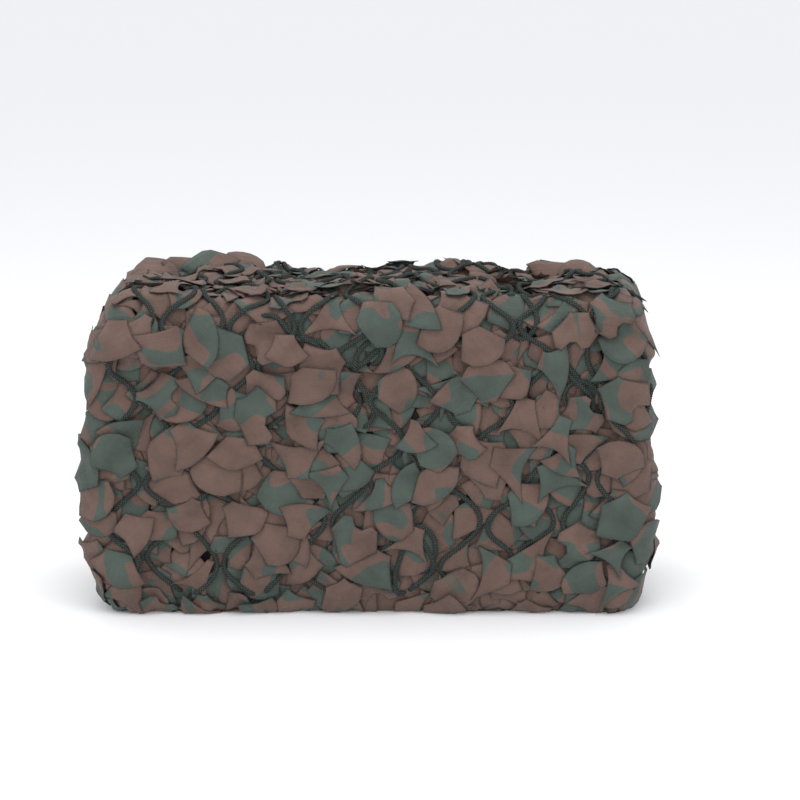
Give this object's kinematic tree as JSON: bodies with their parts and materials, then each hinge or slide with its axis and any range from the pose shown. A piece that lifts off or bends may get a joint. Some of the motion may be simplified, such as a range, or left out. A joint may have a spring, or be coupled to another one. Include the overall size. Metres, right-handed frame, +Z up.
{
  "type": "folded camouflage net",
  "caption": "Camouflage net of leaf-cut cloth on a knotted cord mesh, folded back and forth into a soft bundle that stands on its long edge",
  "frame": {"origin": "middle of the bundle's footprint, on the surface it stands on", "axes": "X along the bundle's length and its folds, Y through its layers with the front layer facing -Y, Z up"},
  "size_m": [0.4646, 0.1346, 0.2721],
  "materials": {
    "leaf_cloth": "matt rip-stop cloth printed in brown and green, cut into leaf shapes",
    "net_cord": "matt knitted cord, dark green to black"
  },
  "bodies": {
    "root": {"leaf_cloth": "leaf_cloth", "cord_net": "net_cord"}
  },
  "joints": []
}
